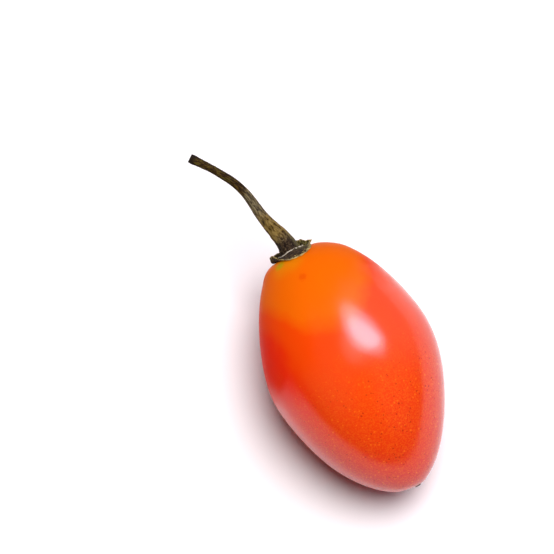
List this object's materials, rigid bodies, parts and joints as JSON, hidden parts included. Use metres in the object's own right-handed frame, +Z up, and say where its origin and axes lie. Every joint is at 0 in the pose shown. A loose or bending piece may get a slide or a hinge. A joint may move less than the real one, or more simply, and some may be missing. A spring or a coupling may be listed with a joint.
{
  "type": "tamarillo",
  "caption": "Egg-shaped ripe tamarillo lying on its side, with a dry lobed calyx and a curved woody stalk.",
  "frame": {"origin": "middle of the small flat spot that the fruit rests on", "axes": "+Z up; +Y along the fruit on the ground, towards its stalk end; +X to the right, seen from the tip"},
  "size_m": [0.0438, 0.0979, 0.0437],
  "materials": {
    "fruit_skin": "smooth waxy skin, orange at the shoulder and red towards the tip, with fine speckles",
    "dry_husk": "dry, papery and brown, with pale curled margins",
    "stalk_bark": "dull green-brown bark, ridged and wrinkled along its length"
  },
  "bodies": {
    "root": {"fruit": "fruit_skin", "calyx": "dry_husk", "stalk": "stalk_bark"}
  },
  "joints": []
}
